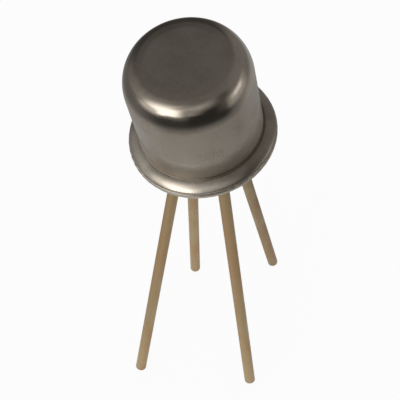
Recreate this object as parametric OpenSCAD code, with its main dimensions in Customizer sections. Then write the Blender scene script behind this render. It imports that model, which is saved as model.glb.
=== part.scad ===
// Dual-gate MOSFET in a four-lead metal can, standing on its bent leads.
// Millimetres. +Z is up. The origin is the centre of the header's seating plane.
// The case is drawn upright and leaned as one: see in_case().

/* [Cap] */
// Outer diameter of the cap's wall
cap_d = 4.65; // [4.5:0.01:4.8]
// Height of the closed end above the seating plane
cap_h = 4.58; // [4.4:0.01:5.3]
// Thickness of the drawn metal
cap_wall = 0.2; // [0.15:0.01:0.25]
// Outer radius of the shoulder beside the closed end, where it turns most
shoulder_top_r = 0.5; // [0.4:0.01:0.8]
// Outer radius of the shoulder's long easy curve above the wall
shoulder_side_r = 1.6; // [0.9:0.01:2]
// Diameter of the cap's weld flange
cap_flange_d = 5.52; // [5.3:0.01:5.55]
// Height of the weld flange's outer edge
cap_edge_h = 0.09; // [0.05:0.01:0.14]
// Radius of the weld flange's crowned upper face
crown_r = 0.58; // [0.54:0.01:0.7]
// Slope of the crowned face where it meets the outer edge
crown_slope = 57.5; // [45:0.5:62]
// Outer radius of the tight bend between the wall and the weld flange
root_r = 0.05; // [0.03:0.01:0.08]

/* [Header] */
// Diameter of the header's flange
header_flange_d = 5.6; // [5.55:0.01:5.84]
// Thickness of the header's flange and its index tab
header_flange_t = 0.2; // [0.15:0.01:0.3]
// How far the index tab stands out from the flange
tab_l = 0.95; // [0.72:0.01:1.22]
// Width of the index tab
tab_w = 1.04; // [0.92:0.01:1.16]
// Direction of the index tab, counter-clockwise from +X
tab_angle = 66.7; // [0:0.1:360]
// Height of the platform above the seating plane
platform_h = 1; // [0.8:0.02:1.2]
// Thickness of the platform
platform_t = 0.25; // [0.2:0.01:0.3]
// Thickness of the header's drawn wall
header_wall = 0.25; // [0.2:0.01:0.3]
// Diameter of the platform's holes for the insulated leads
eyelet_d = 0.9; // [0.8:0.01:1]

/* [Leads] */
// Diameter of a lead
lead_d = 0.455; // [0.41:0.005:0.53]
// Diameter of the circle that the leads come out on
lead_circle_d = 2.54; // [2.5:0.01:2.6]
// Radius of a lead's axis at its bend
bend_r = 1.2; // [0.6:0.05:2]
// Edge radius of a lead's cut end
tip_r = 0.06; // [0.02:0.01:0.12]
// Diameter of the flattened head on an insulated lead
post_head_d = 0.66; // [0.58:0.01:0.72]
// Thickness of that head
post_head_t = 0.08; // [0.05:0.01:0.12]
// Height of that head above the platform
post_h = 0.45; // [0.35:0.01:0.6]

/* [Stance] */
// Height of the seating plane above the feet
stand_h = 12.7; // [11:0.1:14]
// Lean of the case from upright
lean = 7.9; // [0:0.1:12]
// Direction of the lean, counter-clockwise from +X
lean_direction = 230; // [0:1:360]
// Where the drain lead's foot stands
drain_foot = [-1.04, 2.45]; // [-6:0.01:6]
// Where the second gate lead's foot stands
gate_2_foot = [-3.88, -2.59]; // [-6:0.01:6]
// Where the first gate lead's foot stands
gate_1_foot = [0.94, -3.79]; // [-6:0.01:6]
// Where the source lead's foot stands
source_foot = [2.67, 2.32]; // [-6:0.01:6]
// Straight length of the drain lead below the seating plane, before its bend
drain_straight = 0.45; // [0.1:0.05:6]
// The same for the second gate lead
gate_2_straight = 0.9; // [0.1:0.05:6]
// The same for the first gate lead
gate_1_straight = 0.2; // [0.1:0.05:6]
// The same for the source lead
source_straight = 4.7; // [0.1:0.05:6]

/* [Chip] */
// Side of the square chip
die_w = 0.55; // [0.4:0.01:0.6]
// Thickness of the chip
die_t = 0.2; // [0.12:0.01:0.3]
// Width of the solder that shows round the chip
solder_margin = 0.04; // [0.02:0.01:0.06]
// Thickness of the solder
solder_t = 0.03; // [0.02:0.01:0.05]
// Distance of a bond pad from the chip's centre, along each side
pad_offset = 0.17; // [0.12:0.01:0.2]
// Distance of the source wire's platform bond from the chip's centre
down_bond = 0.72; // [0.6:0.01:0.9]
// Diameter of a bond wire
wire_d = 0.03; // [0.02:0.005:0.04]
// Height of a bond wire's arch above the line between its ends
wire_rise = 0.28; // [0.15:0.01:0.4]
// Diameter of the ball at a wire's first bond
ball_d = 0.09; // [0.07:0.01:0.12]
// Height of that ball
ball_h = 0.04; // [0.03:0.01:0.05]

/* [Hidden] */
$fn = 96;

cap_r = cap_d / 2;
cap_inner_r = cap_r - cap_wall;
// Unit direction in which the shoulder's two radii meet, out and up from their centres.
shoulder_meet = [0.8, 0.6];
// Middle of the crowned face's curve, above the cap's own lower face.
crown_centre = [cap_flange_d / 2 - crown_r * sin(crown_slope), cap_edge_h - crown_r * cos(crown_slope)];
// The bend at the wall's foot sinks this far into the crowned face, so that the two cross.
root_sink = 0.01;

header_flange_r = header_flange_d / 2;
// Radius of both edges of the header's flange and tab.
rim_edge_r = 0.05;
// Gap all round between the header's wall and the cap.
header_clearance = 0.08;
header_r = cap_inner_r - header_clearance;
// Radius between the header's wall and its platform.
platform_edge_r = 0.16;
// The header is hollow below its platform: this cup has a rounded mouth.
cup_r = header_r - header_wall;
cup_h = platform_h - platform_t;
cup_edge_r = 0.1;
mouth_r = 0.12;
// The tab runs in as far as the mouth, so that it grows out of the flange's full thickness.
tab_root = cup_r + mouth_r;
tab_corner_r = 0.12;

lead_r = lead_d / 2;
lead_circle_r = lead_circle_d / 2;
// Radius of the upper edge of a lead's flattened head.
post_edge_r = 0.03;
// A bend stretches the lead, which loses this much of its radius there.
bend_thinning = 0.005;
// Angle that the bend laps into each straight stretch.
bend_lap = 1.5;

// The glass stands back from the seating plane, and wets each lead with a small fillet.
glass_recess = 0.14;
wetting_r = 0.09;

die_top = platform_h + solder_t + die_t;
// Each bond pad is a thin square plate on the chip.
pad_w = 0.13;
pad_t = 0.01;
post_top = platform_h + post_h;
// A wire's second bond is a low round stitch, set in from the middle of the lead's head.
stitch_d = 0.07;
stitch_h = 0.02;
stitch_inset = 0.12;

// Directions of the leads on their circle: the numbers run counter-clockwise from the tab.
drain_angle = tab_angle + 45;
gate_2_angle = drain_angle + 90;
gate_1_angle = gate_2_angle + 90;
source_angle = gate_1_angle + 90;
insulated_angles = [drain_angle, gate_2_angle, gate_1_angle];

// The case leans about this level axis.
lean_axis = [-sin(lean_direction), cos(lean_direction), 0];

// ---- Points ----

// A point of the standing part, in the frame of the upright case.
function in_upright(p) =
    let (k = lean_axis)
    p * cos(lean) - cross(k, p) * sin(lean) + k * (k * p) * (1 - cos(lean));

// Where a lead comes out of the seating plane, at a given depth below it.
function exit_point(angle, depth) =
    [lead_circle_r * cos(angle), lead_circle_r * sin(angle), -depth];

// Centre of a lead's cut end when its rounded rim touches the ground: a lead that slants by
// tilt stands on the low side of that rim.
function foot_point(foot, tilt) =
    [foot.x, foot.y, -stand_h + tip_r * (1 - cos(tilt)) + (lead_r - tip_r) * sin(tilt)];

// A bent lead as [heading, bend angle, straight length]: it starts straight down at start,
// turns on bend_r and runs straight to end, both in the frame of the upright case.
function bend_to(start, end) =
    let (
        run = end - start,
        out = norm([run.x, run.y]),
        from_centre = [-run.z, out - bend_r],
        length = sqrt(from_centre * from_centre - bend_r * bend_r)
    )
    [atan2(run.y, run.x), atan2(from_centre[1], from_centre[0]) + atan2(bend_r, length), length];

// Slant of a lead's last stretch against the ground, for a foot point and a start.
function slant(start, end) =
    let (
        bend = bend_to(start, end),
        along = [sin(bend[1]) * cos(bend[0]), sin(bend[1]) * sin(bend[0]), -cos(bend[1])]
    )
    acos(-along * in_upright([0, 0, 1]));

// The slant moves the foot's height a little, and the height moves the slant, so it is
// worked out three times over.
function settled_slant(foot, start, tilt = 0, passes = 3) =
    passes == 0 ? tilt
    : settled_slant(foot, start, slant(start, in_upright(foot_point(foot, tilt))), passes - 1);

// Height of the crowned face at a distance from the axis.
function crown_height(distance) =
    crown_centre.y + sqrt(crown_r * crown_r - pow(distance - crown_centre.x, 2));

// ---- Profiles and shared forms ----

// Half-section of a round plate or block, with its upper outer edge rounded.
module rounded_half(r, h, edge) {
    square([r - edge, h]);
    square([r, h - edge]);
    translate([r - edge, h - edge])
        intersection() {
            circle(r = edge);
            square(edge);
        }
}

// Half-section of a closed can: its wall leans into a long curve of side_r and then into a
// tighter one of top_r, which ends level with the closed end.
module shouldered_half(r, h, top_r, side_r) {
    top_centre = [r - side_r, h - top_r] + [(side_r - top_r) * shoulder_meet.x, 0];
    side_centre = top_centre - (side_r - top_r) * shoulder_meet;
    square([r, side_centre.y]);
    square([top_centre.x, h]);
    translate(top_centre) circle(r = top_r);
    translate(side_centre)
        intersection() {
            circle(r = side_r);
            polygon([[0, 0], [side_r, 0], [side_r, side_r * shoulder_meet.y / shoulder_meet.x]]);
        }
}

// Area between two lines that meet square and the arc that joins them.
module concave_corner(r) {
    difference() {
        square(r);
        translate([r, r]) circle(r = r);
    }
}

// Half-section of a flange with both outer edges rounded.
module rim_half(r, t, edge) {
    square([r - edge, t]);
    translate([0, edge]) square([r, t - 2 * edge]);
    for (z = [edge, t - edge])
        translate([r - edge, z]) circle(r = edge);
}

module rounded_rectangle(size, corner_r) {
    square([size.x - 2 * corner_r, size.y], center = true);
    square([size.x, size.y - 2 * corner_r], center = true);
    for (x = [-1, 1], y = [-1, 1])
        translate([x * (size.x / 2 - corner_r), y * (size.y / 2 - corner_r)]) circle(r = corner_r);
}

// Sets what is drawn on the upright case at the case's lean.
module in_case() {
    rotate(a = lean, v = lean_axis) children();
}

// Sets what is drawn at the origin on the lead circle, in a lead's direction.
module at_lead(angle) {
    rotate(angle) translate([lead_circle_r, 0, 0]) children();
}

// ---- Case ----

module cap() {
    color([0.56, 0.54, 0.5])
        in_case()
            translate([0, 0, header_flange_t])
                rotate_extrude()
                    difference() {
                        cap_outside();
                        cap_inside();
                    }
}

module cap_outside() {
    shouldered_half(cap_r, cap_h - header_flange_t, shoulder_top_r, shoulder_side_r);
    crowned_half(cap_flange_d / 2, crown_r);
    translate([cap_r, crown_height(cap_r) - root_sink]) concave_corner(root_r);
}

// The sheet keeps its thickness under the crowned flange, which stands on its outer edge alone.
module cap_inside() {
    shouldered_half(cap_inner_r, cap_h - header_flange_t - cap_wall,
                    shoulder_top_r - cap_wall, shoulder_side_r - cap_wall);
    crowned_half(cap_flange_d / 2, crown_r - cap_wall);
}

// Half-section of the flange as far out as reach, under a curve of radius r about the crown's
// centre.
module crowned_half(reach, r) {
    intersection() {
        translate(crown_centre) circle(r = r);
        square([reach, crown_r]);
    }
}

module header() {
    color([0.5, 0.48, 0.45])
        in_case()
            difference() {
                union() {
                    rotate_extrude() header_outside();
                    index_tab();
                }
                rotate_extrude() header_cup();
                for (angle = insulated_angles)
                    at_lead(angle) cylinder(d = eyelet_d, h = platform_h);
            }
}

module header_outside() {
    rounded_half(header_r, platform_h, platform_edge_r);
    rim_half(header_flange_r, header_flange_t, rim_edge_r);
}

// The cup below the platform, down through the rounded mouth at the seating plane.
module header_cup() {
    rounded_half(cup_r, cup_h, cup_edge_r);
    translate([cup_r, 0]) concave_corner(mouth_r);
}

// The tab, with its corners rounded in plan and its end and sides rounded like the flange's rim.
module index_tab() {
    length = header_flange_r + tab_l - tab_root;
    rotate(tab_angle)
        translate([tab_root, 0, 0])
            intersection() {
                translate([length / 2, 0, 0])
                    linear_extrude(header_flange_t) rounded_rectangle([length, tab_w], tab_corner_r);
                rotate([90, 0, 0])
                    linear_extrude(tab_w, center = true)
                        rim_half(length, header_flange_t, rim_edge_r);
                rotate([90, 0, 90])
                    linear_extrude(length)
                        for (side = [0, 1])
                            mirror([side, 0]) rim_half(tab_w / 2, header_flange_t, rim_edge_r);
            }
}

module glass_seal() {
    color([0.1, 0.12, 0.13])
        in_case()
            difference() {
                union() {
                    glass_fill();
                    for (angle = insulated_angles)
                        at_lead(angle) glass_plug();
                    for (angle = concat(insulated_angles, [source_angle]))
                        at_lead(angle) glass_wetting();
                }
                for (angle = concat(insulated_angles, [source_angle]))
                    at_lead(angle) cylinder(d = lead_d, h = platform_h);
            }
}

// The glass in the cup: it stops short of the seating plane.
module glass_fill() {
    rotate_extrude()
        difference() {
            rounded_half(cup_r, cup_h, cup_edge_r);
            square([cup_r, glass_recess]);
        }
}

// The glass round an insulated lead, up through its hole in the platform.
module glass_plug() {
    translate([0, 0, glass_recess]) cylinder(d = eyelet_d, h = platform_h - glass_recess);
}

// The glass that creeps a little way down a lead.
module glass_wetting() {
    translate([0, 0, glass_recess])
        mirror([0, 0, 1])
            rotate_extrude() {
                square([lead_r, wetting_r]);
                translate([lead_r, 0]) concave_corner(wetting_r);
            }
}

// ---- Leads ----

// A lead from its upper end, at height top, down through the glass and round its bend to its foot.
module lead(angle, foot, straight, top) {
    start = exit_point(angle, straight);
    bend = bend_to(start, in_upright(foot_point(foot, settled_slant(foot, start))));
    at_lead(angle)
        translate([0, 0, -straight])
            cylinder(r = lead_r, h = straight + top);
    translate(start)
        rotate([-90, 0, bend[0] + 180])
            translate([-bend_r, 0, 0]) {
                lead_bend(bend[1]);
                rotate(bend[1])
                    translate([bend_r, 0, 0])
                        rotate([-90, 0, 0])
                            rotate_extrude() rounded_half(lead_r, bend[2], tip_r);
            }
}

// The bend, drawn a little thinner than the straight stretches and lapped into both.
module lead_bend(turn) {
    rotate(-bend_lap)
        rotate_extrude(angle = turn + 2 * bend_lap)
            translate([bend_r, 0]) circle(r = lead_r - bend_thinning);
}

// A lead that ends above the platform in a flattened head for its bond wire.
module insulated_lead(angle, foot, straight) {
    lead(angle, foot, straight, post_top - post_head_t / 2);
    at_lead(angle)
        translate([0, 0, post_top - post_head_t])
            rotate_extrude() rounded_half(post_head_d / 2, post_head_t, post_edge_r);
}

module drain_lead() {
    color([0.6, 0.53, 0.38]) in_case() insulated_lead(drain_angle, drain_foot, drain_straight);
}

module gate_2_lead() {
    color([0.6, 0.53, 0.38]) in_case() insulated_lead(gate_2_angle, gate_2_foot, gate_2_straight);
}

module gate_1_lead() {
    color([0.6, 0.53, 0.38]) in_case() insulated_lead(gate_1_angle, gate_1_foot, gate_1_straight);
}

// The source lead is brazed to the underside of the platform, so it is live with the case.
module source_lead() {
    color([0.6, 0.53, 0.38]) in_case() lead(source_angle, source_foot, source_straight, cup_h);
}

// ---- Chip and bond wires ----

module die_attach() {
    side = die_w + 2 * solder_margin;
    color([0.72, 0.62, 0.35])
        in_case()
            rotate(drain_angle)
                translate([0, 0, platform_h])
                    linear_extrude(solder_t) rounded_rectangle([side, side], solder_margin);
}

module mosfet_die() {
    color([0.25, 0.26, 0.3])
        in_case()
            rotate(drain_angle) {
                translate([-die_w / 2, -die_w / 2, platform_h + solder_t]) cube([die_w, die_w, die_t]);
                for (quarter = [0:3])
                    rotate(90 * quarter)
                        translate([pad_offset - pad_w / 2, -pad_w / 2, die_top])
                            cube([pad_w, pad_w, pad_t]);
            }
}

// An arched wire in the upright plane of a lead's direction: from a ball on a bond pad of the
// chip to a stitch at end, given as [distance from the case's axis, height].
module bond_wire(angle, end) {
    ball_seat = [pad_offset, die_top + pad_t];
    first = ball_seat + [0, ball_h / 2];
    last = end + [0, wire_d / 2];
    span = last - first;
    arch_r = (span * span / 4 + wire_rise * wire_rise) / (2 * wire_rise);
    half_turn = atan2(norm(span) / 2, arch_r - wire_rise);
    up = [-span[1], span[0]] / norm(span);
    centre = (first + last) / 2 - up * (arch_r - wire_rise);
    rotate(angle) {
        translate([centre[0], 0, centre[1]])
            rotate([90, 0, 0])
                rotate(atan2(up[1], up[0]) - half_turn)
                    rotate_extrude(angle = 2 * half_turn) translate([arch_r, 0]) circle(d = wire_d);
        translate([ball_seat[0], 0, ball_seat[1]])
            rotate_extrude() rounded_half(ball_d / 2, ball_h, ball_h / 2);
        translate([end[0], 0, end[1]])
            rotate_extrude() rounded_half(stitch_d / 2, stitch_h, stitch_h / 2);
    }
}

// A wire from the chip to the head of an insulated lead.
module lead_wire(angle) {
    color([0.85, 0.65, 0.25]) in_case() bond_wire(angle, [lead_circle_r - stitch_inset, post_top]);
}

module drain_wire() {
    lead_wire(drain_angle);
}

module gate_2_wire() {
    lead_wire(gate_2_angle);
}

module gate_1_wire() {
    lead_wire(gate_1_angle);
}

// The source wire is bonded down to the platform beside the chip.
module source_wire() {
    color([0.85, 0.65, 0.25]) in_case() bond_wire(source_angle, [down_bond, platform_h]);
}

cap();
header();
glass_seal();
drain_lead();
gate_2_lead();
gate_1_lead();
source_lead();
die_attach();
mosfet_die();
drain_wire();
gate_2_wire();
gate_1_wire();
source_wire();
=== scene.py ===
"""Looks of a dual-gate MOSFET in a four-lead metal can, with its studio and camera.

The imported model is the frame: metres, +Z up, the origin at the centre of the header's seating
plane. The cap and the leads are worked out again here as smooth surfaces in the same places,
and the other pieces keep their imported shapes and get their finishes. The case is drawn upright
and leaned as one, as in the model.
"""

import logging
from collections.abc import Sequence
from dataclasses import dataclass, field, replace
from enum import Enum
from math import acos, asin, atan2, cos, degrees, hypot, pi, radians, sin, sqrt

import bpy
import numpy as np
from mathutils import Matrix, Vector


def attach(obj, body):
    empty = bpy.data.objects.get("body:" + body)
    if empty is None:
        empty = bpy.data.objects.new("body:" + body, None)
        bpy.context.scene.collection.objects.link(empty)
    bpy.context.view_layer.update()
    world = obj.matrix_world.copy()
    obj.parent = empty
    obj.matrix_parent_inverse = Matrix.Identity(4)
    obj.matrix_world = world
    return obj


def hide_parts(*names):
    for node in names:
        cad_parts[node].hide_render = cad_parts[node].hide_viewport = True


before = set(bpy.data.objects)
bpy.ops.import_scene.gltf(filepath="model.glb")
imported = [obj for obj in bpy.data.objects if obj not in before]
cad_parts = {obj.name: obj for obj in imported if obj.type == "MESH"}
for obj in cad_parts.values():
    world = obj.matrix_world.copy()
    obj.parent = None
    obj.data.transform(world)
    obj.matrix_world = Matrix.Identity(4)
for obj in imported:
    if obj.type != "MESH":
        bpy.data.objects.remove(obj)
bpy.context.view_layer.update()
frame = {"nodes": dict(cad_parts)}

MM = 0.001
BODY = "root"

Colour = tuple[float, float, float]
Point = tuple[float, float]
Span = tuple[float, float]
Socket = bpy.types.NodeSocket
Value = float | Socket
Shade = tuple[float, ...] | Socket

log = logging.getLogger("mosfet")


class Slot(Enum):
    """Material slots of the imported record."""

    CAP = "cap_metal"
    HEADER = "header_metal"
    GLASS = "seal_glass"
    LEAD = "lead_plate"
    SOLDER = "die_solder"
    SILICON = "silicon"
    GOLD = "gold_wire"


# ---- Surfaces ----


def arc(centre: Point, radius: float, start: float, end: float, count: int) -> np.ndarray:
    """Points of an arc: centre plus radius times cosine and sine of even steps in degrees."""
    turn = np.radians(np.linspace(start, end, count))
    return np.array(centre) + radius * np.column_stack([np.cos(turn), np.sin(turn)])


def line(start: Point, end: Point, count: int) -> np.ndarray:
    """Points spaced evenly on the straight line from start to end, without the two ends."""
    share = np.linspace(0, 1, count + 2)[1:-1, None]
    return (1 - share) * np.array(start) + share * np.array(end)


def revolve(radius: np.ndarray, height: np.ndarray, turn: np.ndarray) -> np.ndarray:
    """Carries a profile round Z: radius times the cosine and sine of each turn, and height."""
    return np.stack([np.outer(radius, np.cos(turn)), np.outer(radius, np.sin(turn)),
                     np.outer(height, np.ones(len(turn)))], axis=-1)


def join_rows(rows: int, columns: int) -> np.ndarray:
    """Numbers the corners of the quads of a grid whose columns run all the way round.

    Formula: the quad at row i and column j has the corners (i + 1, j), (i + 1, j + 1),
    (i, j + 1) and (i, j), with the column numbers counted round.

    Args:
        rows: number of rows.
        columns: number of columns.

    Returns:
        The four corners of each quad.
    """
    row = np.arange(rows - 1)[:, None] * columns
    here = np.arange(columns)[None, :]
    beside = (here + 1) % columns
    return np.stack([row + columns + here, row + columns + beside, row + beside, row + here],
                    axis=-1).reshape(-1, 4)


def join_poles(rows: int, columns: int) -> np.ndarray:
    """Numbers the corners of the triangles that join a grid's end rows to its two poles.

    Formula: the poles are numbered after the grid's points, and each column of an end row makes
    one triangle with its pole.

    Args:
        rows: number of rows.
        columns: number of columns.

    Returns:
        The three corners of each triangle.
    """
    here = np.arange(columns)
    beside = (here + 1) % columns
    first_pole = np.full(columns, rows * columns)
    last_row = (rows - 1) * columns
    return np.concatenate([
        np.column_stack([here, beside, first_pole]),
        np.column_stack([last_row + beside, last_row + here, first_pole + 1])])


def add_object(name: str, data: bpy.types.ID) -> bpy.types.Object:
    """Makes an object of a mesh, lamp or camera and puts it into the scene.

    Args:
        name: name of the object.
        data: what the object shows.

    Returns:
        The object.
    """
    made = bpy.data.objects.new(name, data)
    bpy.context.scene.collection.objects.link(made)
    return made


def add_mesh(name: str, points: np.ndarray, faces: list) -> bpy.types.Object:
    """Makes a smooth object, with its place in its mesh.

    Args:
        name: name of the object.
        points: places of the vertices.
        faces: corners of each face.

    Returns:
        The object.
    """
    mesh = bpy.data.meshes.new(name)
    mesh.from_pydata(points.tolist(), [], faces)
    mesh.polygons.foreach_set("use_smooth", np.ones(len(faces), bool))
    return add_object(name, mesh)


def skin(name: str, grid: np.ndarray, poles: np.ndarray) -> bpy.types.Object:
    """Makes a closed object from a grid of points.

    Args:
        name: name of the object.
        grid: places of the points, rows by columns by three.
        poles: the two end points that close the grid.

    Returns:
        The object. Its faces point outwards if the outer rows run down.
    """
    rows, columns = grid.shape[:2]
    faces = join_rows(rows, columns).tolist() + join_poles(rows, columns).tolist()
    return add_mesh(name, np.concatenate([grid.reshape(-1, 3), poles]), faces)


def ease(value: np.ndarray, low: float, high: float) -> np.ndarray:
    """Turns smoothly from 0 at low to 1 at high, as three squares less two cubes."""
    share = np.clip((value - low) / (high - low), 0, 1)
    return share**2 * (3 - 2 * share)


def fade(value: np.ndarray, low: float, high: float) -> np.ndarray:
    """Turns smoothly from 1 at low to 0 at high."""
    return 1 - ease(value, low, high)


def paint_attribute(piece: bpy.types.Object, name: str, values: np.ndarray) -> None:
    """Stores one number or one vector for each vertex of a piece.

    Args:
        piece: the object whose mesh gets the attribute.
        name: name of the attribute.
        values: one row for each vertex, of one number or of three.
    """
    vector = values.ndim == 2
    attribute = piece.data.attributes.new(name, "FLOAT_VECTOR" if vector else "FLOAT", "POINT")
    attribute.data.foreach_set("vector" if vector else "value", values.astype(np.float32).ravel())


# ---- Shader groups ----


class Graph:
    """Adds nodes to a tree and joins their sockets."""

    def __init__(self, tree: bpy.types.NodeTree) -> None:
        """Takes hold of a node tree."""
        self.tree = tree

    def add(self, kind: str, inputs: dict | None = None, **settings: object) -> bpy.types.Node:
        """Adds a node.

        Args:
            kind: the node's type.
            inputs: what goes into its sockets, each a plain value or another node's output.
            settings: the node's own properties.

        Returns:
            The node.
        """
        node = self.tree.nodes.new(kind)
        for name, value in settings.items():
            setattr(node, name, value)
        self.feed(node, inputs or {})
        return node

    def feed(self, node: bpy.types.Node, inputs: dict) -> None:
        """Sets a node's sockets.

        Args:
            node: the node.
            inputs: what goes into its sockets, each a plain value or another node's output.
        """
        for name, value in inputs.items():
            if isinstance(value, Socket):
                self.tree.links.new(value, node.inputs[name])
            else:
                node.inputs[name].default_value = value

    def math(self, operation: str, *terms: Value) -> Socket:
        """Adds a Math node on plain numbers or outputs and returns its output."""
        return self.add("ShaderNodeMath", dict(enumerate(terms)), operation=operation).outputs[0]

    def noise(self, place: Socket, scale: Value, detail: float = 4, rough: float = 0.55) -> Socket:
        """Adds a Noise Texture and returns its value, about 0.5 on average."""
        return self.add("ShaderNodeTexNoise", {"Vector": place, "Scale": scale, "Detail": detail,
                                               "Roughness": rough}).outputs["Fac"]

    def ramp(self, value: Socket, low: float, high: float, start: Value = 0,
             end: Value = 1) -> Socket:
        """Turns smoothly from start to end as a value goes from low to high."""
        return self.add("ShaderNodeMapRange", {"Value": value, "From Min": low, "From Max": high,
                                               "To Min": start, "To Max": end},
                        interpolation_type="SMOOTHSTEP").outputs["Result"]

    def mix(self, share: Socket, first: Shade, second: Shade) -> Socket:
        """Mixes a share of the second colour into the first and returns the result."""
        return self.add("ShaderNodeMix", {"Factor": share, 6: first, 7: second},
                        data_type="RGBA").outputs[2]

    def millimetres(self, place: Socket, turn: Sequence[float] = (0, 0, 0),
                    along: float = 1) -> Socket:
        """Brings a place from metres to millimetres, with its Z stretched, and turns it."""
        scale = (1 / MM, 1 / MM, along / MM)
        return self.add("ShaderNodeMapping", {"Vector": place, "Rotation": turn,
                                              "Scale": scale}).outputs[0]

    def bump(self, height: Socket) -> Socket:
        """Turns a height in millimetres into a normal."""
        metres = self.math("MULTIPLY", height, MM)
        return self.add("ShaderNodeBump", {"Height": metres, "Distance": 1.0}).outputs[0]

    def seen(self) -> Socket:
        """Finds whether a ray comes from the camera, a mirror or glass.

        Returns:
            The output that is 1 for such a ray.
        """
        path = self.add("ShaderNodeLightPath").outputs
        seen = self.math("MAXIMUM", path["Is Camera Ray"], path["Is Glossy Ray"])
        return self.math("MAXIMUM", seen, path["Is Transmission Ray"])


class Effect:
    """A shader node group that several finishes use, each with its own values."""

    name = ""
    inputs: dict[str, str] = {}
    outputs: dict[str, str] = {}

    @classmethod
    def tree(cls) -> bpy.types.NodeTree:
        """Builds the group on its first use.

        Returns:
            The group's tree.
        """
        if cls.name in bpy.data.node_groups:
            return bpy.data.node_groups[cls.name]
        group = bpy.data.node_groups.new(cls.name, "ShaderNodeTree")
        for in_out, sockets in (("INPUT", cls.inputs), ("OUTPUT", cls.outputs)):
            for socket, kind in sockets.items():
                group.interface.new_socket(socket, in_out=in_out, socket_type=f"NodeSocket{kind}")
        graph = Graph(group)
        given = graph.add("NodeGroupInput").outputs
        graph.add("NodeGroupOutput", cls.wire(graph, given))
        return group

    @classmethod
    def wire(cls, graph: Graph, given: bpy.types.NodeOutputs) -> dict[str, Socket]:
        """Joins the group's inputs and says what goes into each of its outputs."""
        raise NotImplementedError

    @classmethod
    def place(cls, graph: Graph, **inputs: Value) -> bpy.types.NodeOutputs:
        """Puts the group into a material's tree and returns its outputs."""
        return graph.add("ShaderNodeGroup", inputs, node_tree=cls.tree()).outputs


class Tarnish(Effect):
    """Uneven dulling: broad clouds with a fine break-up along their edges."""

    name = "tarnish"
    inputs = {"Vector": "Vector", "Scale": "Float", "Spread": "Float"}
    outputs = {"Mask": "Float"}
    finer = 9
    fine_weight = 0.16
    highest_cut = 0.88
    softness = 0.35

    @classmethod
    def wire(cls, graph: Graph, given: bpy.types.NodeOutputs) -> dict[str, Socket]:
        """Broad noise plus a little of a finer one, cut lower as the spread grows.

        Args:
            graph: the group's tree.
            given: the group's inputs.

        Returns:
            The mask, 0 where the surface is clean and 1 where it is dull.
        """
        fine_scale = graph.math("MULTIPLY", given["Scale"], cls.finer)
        broad = graph.noise(given["Vector"], given["Scale"])
        fine = graph.noise(given["Vector"], fine_scale, detail=0)
        both = graph.math("MULTIPLY_ADD", fine, cls.fine_weight, broad)
        cut = graph.math("SUBTRACT", cls.highest_cut, given["Spread"])
        over = graph.math("SUBTRACT", both, cut)
        return {"Mask": graph.ramp(over, 0, cls.softness)}


class Grain(Effect):
    """Fine lines that run along the vector's Z, as drawing leaves them."""

    name = "drawn_grain"
    inputs = {"Vector": "Vector", "Scale": "Float", "Stretch": "Float"}
    outputs = {"Height": "Float"}

    @classmethod
    def wire(cls, graph: Graph, given: bpy.types.NodeOutputs) -> dict[str, Socket]:
        """Noise whose place is squeezed along Z, so that each grain comes out long.

        Args:
            graph: the group's tree.
            given: the group's inputs.

        Returns:
            The height, about 0.5 on average.
        """
        squeeze = graph.math("DIVIDE", 1, given["Stretch"])
        factor = graph.add("ShaderNodeCombineXYZ", {"X": 1.0, "Y": 1.0, "Z": squeeze}).outputs[0]
        squeezed = graph.add("ShaderNodeVectorMath", {0: given["Vector"], 1: factor},
                             operation="MULTIPLY").outputs[0]
        return {"Height": graph.noise(squeezed, given["Scale"], detail=6, rough=0.65)}


class Specks(Effect):
    """Scattered round specks, of which only some cells hold one."""

    name = "specks"
    inputs = {"Vector": "Vector", "Scale": "Float", "Size": "Float", "Share": "Float"}
    outputs = {"Mask": "Float"}
    softness = 0.05

    @classmethod
    def wire(cls, graph: Graph, given: bpy.types.NodeOutputs) -> dict[str, Socket]:
        """Distance to the nearest cell's point, kept in the cells whose own shade is high.

        Args:
            graph: the group's tree.
            given: the group's inputs.

        Returns:
            The mask, 1 in the middle of a speck.
        """
        cells = graph.add("ShaderNodeTexVoronoi", {"Vector": given["Vector"],
                                                   "Scale": given["Scale"]})
        shade = graph.add("ShaderNodeSeparateColor", {"Color": cells.outputs["Color"]}).outputs[0]
        size = graph.math("MULTIPLY", given["Size"], shade)
        inside = graph.math("SUBTRACT", size, cells.outputs["Distance"])
        chosen = graph.math("GREATER_THAN", shade, graph.math("SUBTRACT", 1, given["Share"]))
        return {"Mask": graph.math("MULTIPLY", graph.ramp(inside, 0, cls.softness), chosen)}


class WearAndLight(Effect):
    """Dirt and painted shade in the nooks, polish and painted highlight on the edges, both broken up
    by noise.
    """

    name = "wear"
    inputs = {"Vector": "Vector", "Scale": "Float", "Nook": "Float", "Edge": "Float"}
    outputs = {"Grime_and_shade": "Float", "Polish_and_highlight": "Float"}
    swing = 0.7

    @classmethod
    def wire(cls, graph: Graph, given: bpy.types.NodeOutputs) -> dict[str, Socket]:
        """Each share is swung by the noise, most at a half and not at all at 0 and 1.

        Args:
            graph: the group's tree.
            given: the group's inputs.

        Returns:
            The two masks.
        """
        noise = graph.noise(given["Vector"], given["Scale"], detail=2, rough=0.45)
        swing = graph.math("MULTIPLY", graph.math("SUBTRACT", noise, 0.5), cls.swing)
        masks = {}
        for mask, share in (("Grime_and_shade", given["Nook"]), ("Polish_and_highlight", given["Edge"])):
            rest = graph.math("SUBTRACT", 1, share)
            room = graph.math("MULTIPLY", graph.math("MULTIPLY", share, rest), 4)
            masks[mask] = graph.ramp(graph.math("MULTIPLY_ADD", swing, room, share), 0, 1)
        return masks


# ---- Finishes ----


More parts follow.
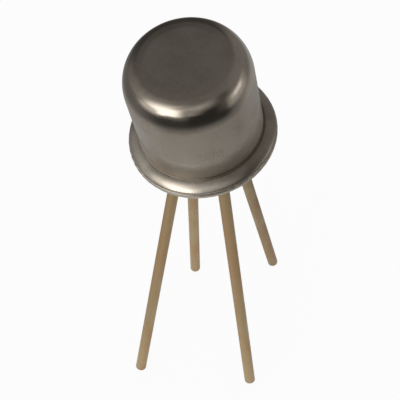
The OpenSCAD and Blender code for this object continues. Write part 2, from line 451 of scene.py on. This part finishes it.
@dataclass(frozen=True)
class Finish:
    """A finish for one material slot."""

    slot: Slot

    def material(self) -> bpy.types.Material:
        """Builds the material.

        Returns:
            A material whose Principled shader shows the finish.
        """
        material = bpy.data.materials.new(self.slot.value)
        material.use_nodes = True
        graph = Graph(material.node_tree)
        graph.feed(material.node_tree.nodes["Principled BSDF"], self.shade(graph))
        return material

    def shade(self, graph: Graph) -> dict[str, Value]:
        """Works out what goes into each of the shader's sockets."""
        raise NotImplementedError


@dataclass(frozen=True)
class Metal(Finish):
    """A plated metal that has dulled unevenly.

    Lengths are in millimetres, and scales are per millimetre.
    """

    clean: Colour
    dull: Colour
    roughness: float
    dull_roughness: float
    tarnish_scale: float = 0.5
    tarnish_spread: float = 0.3
    grain_scale: float = 12
    grain_stretch: float = 20
    grain_depth: float = 0.0006
    grain_gloss: float = 0.12
    pit_scale: float = 1.6
    pit_size: float = 0.06
    pit_share: float = 0.3
    pit_depth: float = 0.004
    pit_cover: float = 0.5
    pit_colour: Colour = (0.03, 0.028, 0.025)
    metallic: float = 1
    # The dark colour that painted shade, a crown darker to the right and a faint smudge pull
    # towards, and the light colour of painted highlight.
    grime_and_shade: Colour = (0.16, 0.125, 0.09)
    bright: Colour = (0.82, 0.74, 0.63)
    wear_scale: float = 2.2
    tint_scale: float = 1.3
    grimy_roughness: float = 0.6
    polish: float = 0
    upright: Matrix = field(default_factory=lambda: Matrix.Identity(3))
    attribute: str = ""
    painted_wear_and_light: bool = False
    streak: float = 1

    def shade(self, graph: Graph) -> dict[str, Value]:
        """Dulls the plate in clouds, then adds drawing lines, pits and any painted wear, shade and
        highlight.

        Args:
            graph: the material's tree.

        Returns:
            What goes into the shader's sockets.
        """
        place = self.place(graph)
        dull = Tarnish.place(graph, Vector=place, Scale=self.tarnish_scale,
                             Spread=self.tarnish_spread)["Mask"]
        grain = Grain.place(graph, Vector=place, Scale=self.grain_scale,
                            Stretch=self.grain_stretch)["Height"]
        pits = Specks.place(graph, Vector=place, Scale=self.pit_scale, Size=self.pit_size,
                            Share=self.pit_share)["Mask"]
        colour = graph.mix(dull, (*self.clean, 1), (*self.dull, 1))
        rough = graph.ramp(dull, 0, 1, self.roughness, self.dull_roughness)
        if self.painted_wear_and_light:
            colour, rough = self.wear(graph, place, colour, rough)
        pitted = graph.mix(graph.math("MULTIPLY", pits, self.pit_cover), colour,
                           (*self.pit_colour, 1))
        smoother = graph.math("SUBTRACT", rough, self.grain_gloss / 2)
        uneven = graph.math("MULTIPLY_ADD", grain, self.grain_gloss, smoother)
        lines = graph.math("MULTIPLY", grain, self.grain_depth)
        relief = graph.math("SUBTRACT", lines, graph.math("MULTIPLY", pits, self.pit_depth))
        return {"Metallic": self.metallic, "Base Color": pitted, "Roughness": uneven,
                "Normal": graph.bump(relief)}

    def wear(self, graph: Graph, place: Socket, colour: Socket,
             rough: Socket) -> tuple[Socket, Socket]:
        """Adds the piece's painted wear to its roughness, and painted shade and highlight to its
        colour.

        Args:
            graph: the material's tree.
            place: output that gives the place.
            colour: colour of the unworn plate.
            rough: roughness of the unworn plate.

        Returns:
            The colour with its painted shade and highlight, and the worn roughness.
        """
        nook, edge, shade_and_stain, painted_highlight = (
            graph.add("ShaderNodeAttribute", attribute_name=name).outputs["Fac"]
            for name in ("nook", "edge", "shade_and_stain", "painted_highlight"))
        # dull only changes roughness; tint paints highlight brighter and shade darker into the
        # colour, along with a faint smudge.
        dull = WearAndLight.place(graph, Vector=place, Scale=self.wear_scale, Nook=nook, Edge=edge)
        tint = WearAndLight.place(graph, Vector=place, Scale=self.tint_scale, Nook=shade_and_stain, Edge=painted_highlight)
        colour = graph.mix(tint["Polish_and_highlight"], colour, (*self.bright, 1))
        colour = graph.mix(tint["Grime_and_shade"], colour, (*self.grime_and_shade, 1))
        rough = graph.math("MULTIPLY_ADD", dull["Polish_and_highlight"], -self.polish, rough)
        rough = graph.ramp(dull["Grime_and_shade"], 0, 1, rough, self.grimy_roughness)
        return colour, rough

    def place(self, graph: Graph) -> Socket:
        """Finds the place on the upright or unbent piece, in millimetres.

        Args:
            graph: the material's tree.

        Returns:
            The output that gives the place.
        """
        if self.attribute:
            source = graph.add("ShaderNodeAttribute", attribute_name=self.attribute)
            place = source.outputs["Vector"]
        else:
            place = graph.add("ShaderNodeTexCoord").outputs["Object"]
        return graph.millimetres(place, self.upright.to_euler(), self.streak)


@dataclass(frozen=True)
class SealGlass(Finish):
    """Dark fused glass with a faint swirl and a few bubbles. Lengths in millimetres."""

    slot: Slot = Slot.GLASS
    colour: Colour = (0.012, 0.017, 0.02)
    smoke: Colour = (0.03, 0.035, 0.034)
    roughness: Span = (0.06, 0.2)
    relief: float = 0.003

    def shade(self, graph: Graph) -> dict[str, Value]:
        """Swirls the glass between clear and smoky, and sinks bubbles into it.

        Args:
            graph: the material's tree.

        Returns:
            What goes into the shader's sockets.
        """
        place = graph.millimetres(graph.add("ShaderNodeTexCoord").outputs["Object"])
        swirl = Tarnish.place(graph, Vector=place, Scale=1.5, Spread=0.35)["Mask"]
        bubbles = Specks.place(graph, Vector=place, Scale=5, Size=0.12, Share=0.35)["Mask"]
        depth = graph.math("MULTIPLY", graph.math("SUBTRACT", swirl, bubbles), self.relief)
        return {"Base Color": graph.mix(swirl, (*self.colour, 1), (*self.smoke, 1)),
                "Roughness": graph.ramp(swirl, 0, 1, *self.roughness),
                "Normal": graph.bump(depth)}


@dataclass(frozen=True)
class Silicon(Finish):
    """Polished silicon with fine bright stripes. Scales per millimetre."""

    slot: Slot = Slot.SILICON
    ground: Colour = (0.06, 0.07, 0.1)
    stripe: Colour = (0.62, 0.6, 0.56)
    stripe_scale: float = 14
    haze_scale: float = 6
    roughness: Span = (0.12, 0.28)

    def shade(self, graph: Graph) -> dict[str, Value]:
        """Draws the stripes and hazes the polish.

        Args:
            graph: the material's tree.

        Returns:
            What goes into the shader's sockets.
        """
        place = graph.millimetres(graph.add("ShaderNodeTexCoord").outputs["Object"])
        wave = graph.add("ShaderNodeTexWave", {"Vector": place, "Scale": self.stripe_scale})
        stripes = graph.ramp(wave.outputs["Fac"], 0.6, 0.75)
        haze = graph.noise(place, self.haze_scale)
        return {"Base Color": graph.mix(stripes, (*self.ground, 1), (*self.stripe, 1)),
                "Roughness": graph.ramp(haze, 0.3, 0.7, *self.roughness)}


# ---- Case ----


@dataclass(frozen=True)
class Lean:
    """Lean of the case from upright, and the way that it leans, in degrees."""

    angle: float = 7.9
    heading: float = 230

    def matrix(self) -> Matrix:
        """Rotation that takes the upright case to its place."""
        axis = Vector((-sin(radians(self.heading)), cos(radians(self.heading)), 0))
        return Matrix.Rotation(radians(self.angle), 3, axis)

    def place(self, points: np.ndarray) -> np.ndarray:
        """Takes points of the upright case, in its last axis, to their places."""
        return points @ np.array(self.matrix()).T


LEAN = Lean()


@dataclass
class Cap:
    """The drawn can that is welded to the header. Lengths in metres."""

    radius: float = 2.325 * MM
    height: float = 4.58 * MM
    wall: float = 0.2 * MM
    shoulder_top_r: float = 0.5 * MM
    shoulder_side_r: float = 1.6 * MM
    shoulder_meet: Point = (0.8, 0.6)
    seat: float = 0.2 * MM
    flange_r: float = 2.76 * MM
    flange_edge_h: float = 0.09 * MM
    crown_r: float = 0.58 * MM
    crown_slope: float = 57.5
    crown_edge_r: float = 0.06 * MM
    lower_edge_r: float = 0.02 * MM
    root_r: float = 0.05 * MM
    brow: float = 0.02 * MM
    brow_middle: float = 1.75 * MM
    brow_half: float = 0.4 * MM
    columns: int = 240

    def shoulder(self, thinner: float) -> np.ndarray:
        """Profile of the shoulder, from the closed end down to the wall.

        Formula: an arc of the top radius from straight up to the direction in which the two
        radii meet, then an arc of the side radius on to level.

        Args:
            thinner: how far inside the outer surface the profile runs.

        Returns:
            Points as [distance from the axis, height].
        """
        across, up = self.shoulder_meet
        meet = degrees(atan2(up, across))
        difference = self.shoulder_side_r - self.shoulder_top_r
        side = (self.radius - self.shoulder_side_r,
                self.height - self.shoulder_top_r - difference * up)
        top = (side[0] + difference * across, side[1] + difference * up)
        return np.concatenate([arc(top, self.shoulder_top_r - thinner, 90, meet, 24),
                               arc(side, self.shoulder_side_r - thinner, meet, 0, 40)[1:]])

    def flange(self) -> np.ndarray:
        """Profile of the weld flange, from the wall's foot over its crown and back inside.

        Formula: the root is a small arc that touches the wall and the crown's circle from
        outside. The crown runs down its circle to a smaller arc that touches it and the rim
        from inside. Below, the sheet keeps its thickness under the crown.

        Returns:
            Points as [distance from the axis, height].
        """
        crown = np.array([self.flange_r - self.crown_r * sin(radians(self.crown_slope)),
                          self.seat + self.flange_edge_h
                          - self.crown_r * cos(radians(self.crown_slope))])
        root_x = self.radius + self.root_r
        root_rise = sqrt((self.crown_r + self.root_r)**2 - (root_x - crown[0])**2)
        root = (root_x, crown[1] + root_rise)
        edge_x = self.flange_r - self.crown_edge_r
        edge_rise = sqrt((self.crown_r - self.crown_edge_r)**2 - (edge_x - crown[0])**2)
        edge = (edge_x, crown[1] + edge_rise)
        first = degrees(atan2(root_rise, root_x - crown[0]))
        last = degrees(atan2(edge_rise, edge_x - crown[0]))
        lower = (self.flange_r - self.lower_edge_r, self.seat + self.lower_edge_r)
        inside_r = self.crown_r - self.wall
        inside_x = self.radius - self.wall
        opening = degrees(asin((self.seat - crown[1]) / inside_r))
        closing = degrees(acos((inside_x - crown[0]) / inside_r))
        inside = arc(crown, inside_r, opening, closing, 20)
        return np.concatenate([
            arc(root, self.root_r, 180, 180 + first, 12), arc(crown, self.crown_r, first, last, 36),
            arc(edge, self.crown_edge_r, last, 0, 9)[1:], arc(lower, self.lower_edge_r, 0, -90, 6),
            line((lower[0], self.seat), inside[0], 3), inside])

    def profile(self) -> np.ndarray:
        """Profile of the drawn metal, from the middle of its closed end and round.

        Formula: the outer shoulder, the wall, the flange, the wall inside and the inner
        shoulder.

        Returns:
            Points as [distance from the axis, height].
        """
        outer = self.shoulder(0)
        flange = self.flange()
        inner = self.shoulder(self.wall)[::-1]
        return np.concatenate([
            line((0, self.height), outer[0], 28), outer, line(outer[-1], flange[0], 40), flange,
            line(flange[-1], inner[0], 8), inner,
            line(inner[-1], (0, self.height - self.wall), 8)])

    def build(self) -> bpy.types.Object:
        """Builds the cap's skin.

        Formula: the profile is carried round the axis. The closed end eases into the shoulder
        because it sinks there by the brow times the square of one less the squared distance
        from the brow's middle, in half-widths of the brow.

        Returns:
            The object, with worn roughness in "nook" and "edge", and painted shade and painted
            highlight in two more attributes.
        """
        reach, height = self.profile().T
        turn = np.linspace(0, 2 * pi, self.columns, endpoint=False)
        away = np.clip((reach - self.brow_middle) / self.brow_half, -1, 1)
        above = height > self.height - self.shoulder_side_r
        eased = height - np.where(above, self.brow * (1 - away**2) ** 2, 0)
        poles = np.array([[0, 0, self.height], [0, 0, self.height - self.wall]])
        piece = skin("cap_shell", LEAN.place(revolve(reach, eased, turn)), LEAN.place(poles))
        for name, values in self.wear(reach, height, turn).items():
            paint_attribute(piece, name, np.append(values.ravel(), [0, 0]))
        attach(piece, BODY)
        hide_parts("cap")
        return piece

    def wear(self, reach: np.ndarray, height: np.ndarray, turn: np.ndarray) -> dict[str, np.ndarray]:
        """Works out where the cap is dull or polished, and where shade and highlight are painted.

        Formula: each share is a product of smooth steps in the height above the seat and in the
        distance from the wall, in millimetres, and for the last two also in the azimuth from
        the front, in degrees. The third share is painted shade in the corner at the wall's foot,
        with the crown darker to the right and a faint smudge where a marking has worn off. The
        fourth is painted highlight on the lit front and left.

        Args:
            reach: distances of the profile's points from the axis.
            height: their heights.
            turn: angles of the columns.

        Returns:
            The four shares for each point and column, under the attributes' names.
        """
        up = (height - self.seat) / MM
        out = (reach - self.radius) / MM
        foot = fade(up, 0.5, 1.8) * fade(out, 0.02, 0.08)
        crown = ease(out, 0, 0.08) * fade(up, 0.36, 0.6)
        above_crown = ease(up, 0.27, 0.33) * fade(out, 0.04, 0.12)
        # Painted shade: a dark line in the corner at the wall's foot and a soft shade up the wall
        # above it.
        root = above_crown * fade(up, 0.4, 0.5)
        skirt = above_crown * fade(up, 0.42, 1)
        shoulder = ease(up, 2.9, 3.5) * ease(out, -0.72, -0.5)
        wall = fade(out, 0, 0.04)
        smudge_band = ease(up, 0.8, 1.2) * fade(up, 2.2, 2.7) * wall
        # Painted highlight low on the wall, used on its lit left side.
        highlight_band = ease(up, 0.4, 0.55) * fade(up, 1.3, 1.9) * wall
        azimuth = (np.degrees(turn) + 270) % 360 - 180
        right = ease(azimuth, -5, 35) * (1 - 0.25 * ease(azimuth, 40, 70)) * fade(azimuth, 110, 170)
        # Where painted highlight lies round the cap: the lit front and left of the crown, and the
        # left of the wall.
        front = (ease(azimuth, -115, -85) * fade(azimuth, -62, -48)
                 + 0.45 * ease(azimuth, -42, -28) * fade(azimuth, 0, 40))
        left = 0.45 * ease(azimuth, -120, -90) * fade(azimuth, -60, -30)
        smudged = (ease(azimuth, -80, -50) * fade(azimuth, -20, 10)
                   + ease(azimuth, 25, 38) * fade(azimuth, 48, 62))
        # Painted shade at the wall's foot, weakest on the left and darkest on the right; the crown
        # is painted darker to the right, and a faint smudge goes on top.
        root_shade = 0.25 + 0.2 * ease(azimuth, -75, -30) + 0.2 * right
        shade_and_stain = np.maximum(np.outer(crown, 0.02 + 0.38 * right),
                           np.outer(root, root_shade) + np.outer(skirt, 0.1 * right))
        shade_and_stain = shade_and_stain + np.outer(smudge_band, 0.13 * smudged)
        even = np.ones(len(turn))
        return {"nook": np.outer(np.maximum(foot, 0.25 * crown), even),
                "edge": np.outer(shoulder, even), "shade_and_stain": np.minimum(shade_and_stain, 1),
                "painted_highlight": np.maximum(np.outer(crown, front), np.outer(highlight_band, left))}

    def dress(self, piece: bpy.types.Object) -> None:
        """Gives the cap its satin plate, with painted shade and highlight."""
        piece.data.materials.append(Metal(
            slot=Slot.CAP, clean=(0.58, 0.512, 0.428), dull=(0.485, 0.418, 0.34),
            roughness=0.2, dull_roughness=0.28, tarnish_scale=0.8, tarnish_spread=0.42,
            pit_share=0.4, polish=0.08, painted_wear_and_light=True,
            upright=LEAN.matrix().inverted()).material())


@dataclass(frozen=True)
class Lead:
    """One bent lead: straight down from the glass, round its bend and straight to its foot.

    Lengths in metres, angles in degrees. The foot is where the lead stands on the ground.
    """

    node: str
    angle: float
    foot: Point
    straight: float
    top: float
    headed: bool = True
    radius: float = 0.2275 * MM
    circle_r: float = 1.27 * MM
    bend_r: float = 1.2 * MM
    tip_r: float = 0.06 * MM
    head_r: float = 0.33 * MM
    head_t: float = 0.08 * MM
    head_edge_r: float = 0.03 * MM
    ground: float = -12.7 * MM
    columns: int = 40

    def start(self) -> Vector:
        """Where the bend starts, on the upright case."""
        turn = radians(self.angle)
        return Vector((self.circle_r * cos(turn), self.circle_r * sin(turn), -self.straight))

    def run(self) -> tuple[float, float, float]:
        """Works out the bend that brings the lead to its foot.

        Formula: seen from the side, the last stretch is the tangent from the foot to the bend's
        circle, so its length is the root of the squared distance to the circle's centre less
        the squared bend radius. The foot stands on the low side of its rounded rim, whose
        height follows the lead's slant, so the two are settled in turn.

        Returns:
            The heading and the turn in radians, and the length of the last stretch.
        """
        upright = LEAN.matrix().inverted()
        slant = 0.0
        for _ in range(4):
            rise = self.tip_r * (1 - cos(slant)) + (self.radius - self.tip_r) * sin(slant)
            reach = upright @ Vector((*self.foot, self.ground + rise)) - self.start()
            out = hypot(reach.x, reach.y)
            down, across = -reach.z, out - self.bend_r
            length = sqrt(down**2 + across**2 - self.bend_r**2)
            heading = atan2(reach.y, reach.x)
            turn = atan2(across, down) + atan2(self.bend_r, length)
            along = Vector((sin(turn) * cos(heading), sin(turn) * sin(heading), -cos(turn)))
            slant = acos(-along.dot(upright @ Vector((0, 0, 1))))
        return heading, turn, length

    def profile(self, length: float) -> np.ndarray:
        """Radius of the lead along its length, from the middle of its upper end.

        Formula: the flattened head if there is one, the wire, and the rounded rim of the cut.

        Args:
            length: length of the lead along its axis.

        Returns:
            Points as [distance along the axis, radius].
        """
        foot = arc((length - self.tip_r, self.radius - self.tip_r), self.tip_r, 90, 0, 9)
        cut = line(foot[-1], (length, 0), 3)
        if self.headed:
            brim = self.head_r - self.head_edge_r
            head = arc((self.head_edge_r, brim), self.head_edge_r, 180, 90, 7)
            start = np.concatenate([line((0, 0), head[0], 4), head,
                                    [(self.head_t, self.head_r), (self.head_t, self.radius)]])
        else:
            start = np.concatenate([line((0, 0), (0, self.radius), 2), [(0, self.radius)]])
        wire = line(start[-1], foot[0], 150)
        return np.concatenate([start, wire, foot, cut])

    def build(self) -> bpy.types.Object:
        """Builds the lead's skin.

        Formula: a point at a distance along the lead sits on the first straight, on the bend's
        circle or on the last straight. The profile's radius is laid off from it along the
        bend's level axis and along the direction square to both, and carried round.

        Returns:
            The object, with the place on the lead as if it were straight in "unbent".
        """
        heading, turn, last = self.run()
        first = self.top + self.straight
        bend = self.bend_r * turn
        along, radius = self.profile(first + bend + last).T
        angle = np.clip((along - first) / self.bend_r, 0, turn)
        ahead = np.maximum(along - first - bend, 0)
        out = self.bend_r * (1 - np.cos(angle)) + ahead * np.sin(angle)
        down = np.minimum(along - first, 0) + self.bend_r * np.sin(angle) + ahead * np.cos(angle)
        level = np.array([cos(heading), sin(heading), 0])
        side = np.array([-sin(heading), cos(heading), 0])
        up = np.array([0, 0, 1.0])
        axis = np.array(self.start()) + out[:, None] * level - down[:, None] * up
        square = np.cos(angle)[:, None] * level + np.sin(angle)[:, None] * up
        unbent = revolve(radius, along, np.linspace(0, 2 * pi, self.columns, endpoint=False))
        grid = axis[:, None] + unbent[..., :1] * square[:, None] + unbent[..., 1:2] * side
        piece = skin(f"{self.node}_wire", LEAN.place(grid), LEAN.place(axis[[0, -1]]))
        ends = np.array([[0, 0, along[0]], [0, 0, along[-1]]])
        paint_attribute(piece, "unbent", np.concatenate([unbent.reshape(-1, 3), ends]))
        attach(piece, BODY)
        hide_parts(self.node)
        return piece


@dataclass
class Leads:
    """The four leads, numbered counter-clockwise from the tab.

    Lengths in metres, angles in degrees from +X.
    """

    tab_angle: float = 66.7
    post_top: float = 1.45 * MM
    braze: float = 0.75 * MM

    def build(self) -> list[bpy.types.Object]:
        """Builds the four leads.

        Returns:
            Their objects.
        """
        drain = self.tab_angle + 45
        leads = (
            Lead("drain_lead", drain, (-1.04 * MM, 2.45 * MM), 0.45 * MM, self.post_top),
            Lead("gate_2_lead", drain + 90, (-3.88 * MM, -2.59 * MM), 0.9 * MM, self.post_top),
            Lead("gate_1_lead", drain + 180, (0.94 * MM, -3.79 * MM), 0.2 * MM, self.post_top),
            Lead("source_lead", drain + 270, (2.67 * MM, 2.32 * MM), 4.7 * MM, self.braze,
                 headed=False),
        )
        return [lead.build() for lead in leads]

    def dress(self, pieces: list[bpy.types.Object]) -> None:
        """Gives the leads a worn gold flash, with a darker copy of it on the source lead.

        Args:
            pieces: the leads' objects.
        """
        flash = Metal(slot=Slot.LEAD, clean=(0.372, 0.282, 0.152), dull=(0.385, 0.24, 0.118),
                      metallic=0.45, roughness=0.5, dull_roughness=0.62, tarnish_scale=1.7,
                      tarnish_spread=0.49, grain_scale=14, grain_stretch=8, grain_depth=0.002,
                      pit_scale=3, pit_size=0.1, pit_share=0.12, streak=0.28,
                      attribute="unbent")
        # A darker copy of the flash for the source lead.
        darker_flash = replace(flash, clean=(0.29, 0.224, 0.12), dull=(0.292, 0.186, 0.093))
        finish, darker = flash.material(), darker_flash.material()
        for piece in pieces:
            piece.data.materials.append(darker if piece.name.startswith("source") else finish)


@dataclass
class Inside:
    """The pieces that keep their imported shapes: header, glass, chip and bond wires."""

    nodes: dict[str, bpy.types.Object]

    def dress(self) -> list[bpy.types.Object]:
        """Puts each piece's finish into its material slot.

        Returns:
            The dressed objects.
        """
        header = Metal(slot=Slot.HEADER, clean=(0.6, 0.54, 0.46), dull=(0.48, 0.42, 0.35),
                       roughness=0.36, dull_roughness=0.5, tarnish_scale=0.9, grain_depth=0.0002,
                       upright=LEAN.matrix().inverted())
        solder = Metal(slot=Slot.SOLDER, clean=(0.72, 0.62, 0.35), dull=(0.55, 0.46, 0.26),
                       roughness=0.25, dull_roughness=0.45, tarnish_scale=4)
        gold = Metal(slot=Slot.GOLD, clean=(0.9, 0.68, 0.28), dull=(0.78, 0.55, 0.2),
                     roughness=0.18, dull_roughness=0.3, tarnish_scale=6, grain_depth=0.0003)
        wires = ("drain_wire", "gate_2_wire", "gate_1_wire", "source_wire")
        materials = {"header": header.material(), "glass_seal": SealGlass().material(),
                     "die_attach": solder.material(), "mosfet_die": Silicon().material(),
                     **dict.fromkeys(wires, gold.material())}
        for name, material in materials.items():
            self.nodes[name].data.materials[0] = material
        return [self.nodes[name] for name in materials]


# ---- Studio ----


def direction(azimuth: float, elevation: float) -> Vector:
    """Unit vector for an azimuth from the front, positive to the right, and an elevation."""
    turn, rise = radians(azimuth), radians(elevation)
    return Vector((cos(rise) * sin(turn), -cos(rise) * cos(turn), sin(rise)))


@dataclass(frozen=True)
class Softbox:
    """A rectangular lamp that faces the case. Lengths in metres, angles in degrees."""

    name: str
    azimuth: float
    elevation: float
    width: float
    height: float
    radiance: float
    distance: float = 0.16

    def build(self) -> None:
        """Builds the lamp, unseen by the camera and by mirrors, which see the tent."""
        lamp = bpy.data.lights.new(self.name, "AREA")
        lamp.shape = "RECTANGLE"
        lamp.size, lamp.size_y = self.width, self.height
        lamp.energy = self.radiance * pi * self.width * self.height
        away = direction(self.azimuth, self.elevation)
        box = add_object(self.name, lamp)
        box.matrix_world = Matrix.Translation(away * self.distance) @ away.to_track_quat(
            "Z", "Y").to_matrix().to_4x4()
        box.visible_camera = False
        box.visible_glossy = False


@dataclass(frozen=True)
class Patch:
    """A soft-edged pale or dark part of the surroundings. Angles in degrees.

    Azimuths run from the front, positive to the right. The shade is what a mirror sees there,
    with white as 1. The last two fields say over how many degrees each edge fades.
    """

    azimuths: Span
    elevations: Span
    shade: float
    soft_sides: Span
    soft_ends: Span

    def cover(self, azimuth: np.ndarray, elevation: np.ndarray) -> np.ndarray:
        """How much of the patch lies in each direction.

        Formula: the product of four smooth steps, one for each edge, which turn from 0 to 1
        over that edge's softness. A patch with no softness at a side or an end runs on there.

        Args:
            azimuth: azimuths in degrees.
            elevation: elevations in degrees.

        Returns:
            The share, from 0 to 1.
        """
        low, high = self.azimuths
        half = (high - low) / 2
        across = (azimuth - low - half + 180) % 360 - 180
        cover = np.ones(np.broadcast(azimuth, elevation).shape)
        edges = ((across, -half, self.soft_sides[0]), (-across, -half, self.soft_sides[1]),
                 (elevation, self.elevations[0], self.soft_ends[0]),
                 (-elevation, -self.elevations[1], self.soft_ends[1]))
        for value, edge, soft in edges:
            if soft:
                cover = cover * ease(value, edge - soft / 2, edge + soft / 2)
        return cover


@dataclass(frozen=True)
class Tent:
    """A glowing tent round the case, closed above, that only reflections see: its painted patches
    stand in for lamps and dark surroundings.

    Lengths in metres, angles in degrees. The patches lie one over another on an even grey.
    """

    ground: float = -12.6 * MM
    middle: float = 2 * MM
    inner_r: float = 8 * MM
    outer_r: float = 130 * MM
    top: float = 89.5
    grey: float = 0.18
    patches: tuple[Patch, ...] = (
        Patch((-180, 180), (-90, -44), 0.335, (0, 0), (0, 24)),
        Patch((-160, -60), (-90, -34), 0.39, (30, 40), (0, 18)),
        Patch((85, 165), (-42, -17), 0.37, (40, 20), (18, 16)),
        Patch((60, 150), (-10, 60), 0.215, (40, 20), (30, 40)),
        Patch((-116, -20), (0, 70), 0.3, (50, 60), (30, 26)),
        Patch((140, 220), (52, 82), 0.15, (40, 40), (16, 12)),
        Patch((162, 222), (-4, 50), 0.06, (20, 26), (20, 16)),
        Patch((-88, 24), (12, 50), 0.46, (40, 40), (20, 36)),
        Patch((-74, -30), (28, 58), 0.7, (30, 22), (20, 16)),
        Patch((-70, -38), (8, 44), 1.5, (40, 22), (10, 22)),
        Patch((-68, 57), (-31, -9), 0.05, (50, 22), (16, 10)),
        Patch((-10, 62), (-24, 12), 0.03, (20, 24), (20, 20)),
        Patch((40, 62), (-12, 46), 0.1, (20, 12), (20, 24)),
        Patch((-30, 6), (1, 24), 0.36, (10, 34), (5, 20)),
        Patch((-63, -22), (-1, 29), 2.2, (44, 20), (5, 26)),
        Patch((-86, -50), (-8, 4), 0.8, (22, 12), (14, 6)),
        Patch((-54, -42), (-4, 4), 2.1, (10, 8), (4, 4)),
        Patch((56, 100), (-15, 9), 0.45, (10, 24), (12, 10)),
        Patch((68, 90), (-4, 6), 1.0, (14, 12), (6, 6)),
    )
    columns: int = 180
    rows: int = 60

    def build(self) -> None:
        """Builds the tent.

        Formula: a level ring whose distance from the middle grows in equal ratios, then a part
        of a sphere from its rim to just short of the top, both carried round.
        """
        level = np.geomspace(self.inner_r, self.outer_r, self.rows)
        drop = self.ground - self.middle
        radius = hypot(self.outer_r, drop)
        rise = np.linspace(atan2(drop, self.outer_r), radians(self.top), self.rows)[1:]
        reach = np.concatenate([level, radius * np.cos(rise)])
        height = np.concatenate([np.full(self.rows, drop), radius * np.sin(rise)])
        azimuth = np.linspace(-180, 180, self.columns, endpoint=False)
        elevation = np.degrees(np.arctan2(height, reach))[:, None]
        shade = np.full((len(reach), self.columns), self.grey)
        for patch in self.patches:
            shade = shade + (patch.shade - shade) * patch.cover(azimuth, elevation)
        grid = revolve(reach, height + self.middle, np.radians(azimuth - 90))
        card = add_mesh("tent", grid.reshape(-1, 3), join_rows(*shade.shape).tolist())
        paint_attribute(card, "shade", shade.ravel())
        card.data.materials.append(self.glow())
        card.visible_camera = False
        card.visible_diffuse = False
        card.visible_shadow = False
        card.visible_transmission = False

    def glow(self) -> bpy.types.Material:
        """Makes the card's material.

        Returns:
            A material that glows by its painted shade.
        """
        material = bpy.data.materials.new("tent_glow")
        material.use_nodes = True
        tree = material.node_tree
        tree.nodes.remove(tree.nodes["Principled BSDF"])
        graph = Graph(tree)
        shade = graph.add("ShaderNodeAttribute", attribute_name="shade").outputs["Fac"]
        glow = graph.add("ShaderNodeEmission", {"Strength": shade}).outputs[0]
        graph.feed(tree.nodes["Material Output"], {"Surface": glow})
        return material


@dataclass(frozen=True)
class Camera:
    """The camera. Place in metres, angles in degrees.

    Heading is the way that it looks, to the right of +Y, pitch is down from level, and roll is
    counter-clockwise about the line of sight.
    """

    place: tuple[float, float, float] = (0.0603 * MM, -26.7462 * MM, 31.6188 * MM)
    heading: float = -0.983
    pitch: float = 53.145
    roll: float = -6.669
    lens: float = 99.607

    def build(self) -> None:
        """Builds the camera and makes it the scene's."""
        camera = bpy.data.cameras.new("camera")
        camera.lens = self.lens
        camera.clip_start = 1 * MM
        camera.clip_end = 10
        turn = (Matrix.Rotation(-radians(self.heading), 4, "Z")
                @ Matrix.Rotation(radians(90 - self.pitch), 4, "X")
                @ Matrix.Rotation(radians(self.roll), 4, "Z"))
        view = add_object("camera", camera)
        view.matrix_world = Matrix.Translation(self.place) @ turn
        bpy.context.scene.camera = view


@dataclass
class Studio:
    """Floor, surroundings, lamps, tent and camera. Lengths in metres."""

    ground: float = -12.7 * MM
    floor_side: float = 4
    floor_white: float = 0.75
    floor_roughness: float = 0.9
    floor_glow: float = 0.92
    ambient: float = 0.5
    backdrop: float = 0.975
    lamps: tuple[Softbox, ...] = (
        Softbox("window", azimuth=-50, elevation=22, width=0.085, height=0.07, radiance=3.0),
        Softbox("front_fill", azimuth=-12, elevation=30, width=0.2, height=0.15, radiance=1.3,
                distance=0.2),
        Softbox("overhead_fill", azimuth=0, elevation=88, width=0.3, height=0.3, radiance=0.6,
                distance=0.25),
        Softbox("back_fill", azimuth=165, elevation=25, width=0.2, height=0.15, radiance=0.8,
                distance=0.2),
    )

    def build(self) -> None:
        """Sets up the whole studio."""
        self.build_floor()
        self.build_world()
        for lamp in self.lamps:
            lamp.build()
        Tent().build()
        Camera().build()
        bpy.context.scene.view_settings.view_transform = "Standard"

    def build_floor(self) -> None:
        """Builds the pale square floor."""
        half = self.floor_side / 2
        corners = np.array([(-half, -half, self.ground), (half, -half, self.ground),
                            (half, half, self.ground), (-half, half, self.ground)])
        floor = add_mesh("floor", corners, [(0, 1, 2, 3)])
        floor.data.materials.append(self.paper())

    def paper(self) -> bpy.types.Material:
        """Builds the floor's white paper.

        Returns:
            A white material that the camera, mirrors and glass see mostly as plain white, with
            a trace of the object's shadow.
        """
        material = bpy.data.materials.new("paper")
        material.use_nodes = True
        tree = material.node_tree
        graph = Graph(tree)
        shader = tree.nodes["Principled BSDF"]
        graph.feed(shader, {"Base Color": (*(self.floor_white,) * 3, 1),
                            "Roughness": self.floor_roughness, "Specular IOR Level": 0})
        share = graph.math("MULTIPLY", graph.seen(), self.floor_glow)
        white = graph.add("ShaderNodeEmission").outputs[0]
        mixed = graph.add("ShaderNodeMixShader", {0: share, 1: shader.outputs[0],
                                                  2: white}).outputs[0]
        graph.feed(tree.nodes["Material Output"], {"Surface": mixed})
        return material

    def build_world(self) -> None:
        """Surrounds the scene with an even soft grey, which itself is seen as plain white."""
        world = bpy.data.worlds.new("surroundings")
        world.use_nodes = True
        graph = Graph(world.node_tree)
        colour = graph.mix(graph.seen(), (*(self.ambient,) * 3, 1), (*(self.backdrop,) * 3, 1))
        graph.feed(world.node_tree.nodes["Background"], {"Color": colour})
        bpy.context.scene.world = world


def main() -> None:
    """Builds the object's pieces in order, then the studio."""
    logging.basicConfig(level=logging.INFO, format="%(name)s: %(message)s")
    cap = Cap()
    shell = cap.build()
    cap.dress(shell)
    log.info("cap: %d faces", len(shell.data.polygons))
    leads = Leads()
    wires = leads.build()
    leads.dress(wires)
    for wire in wires:
        log.info("%s: %d faces", wire.name, len(wire.data.polygons))
    for piece in Inside(frame["nodes"]).dress():
        log.info("%s: dressed", piece.name)
    Studio().build()
    log.info("studio: ready")


if __name__ == "__main__":
    main()
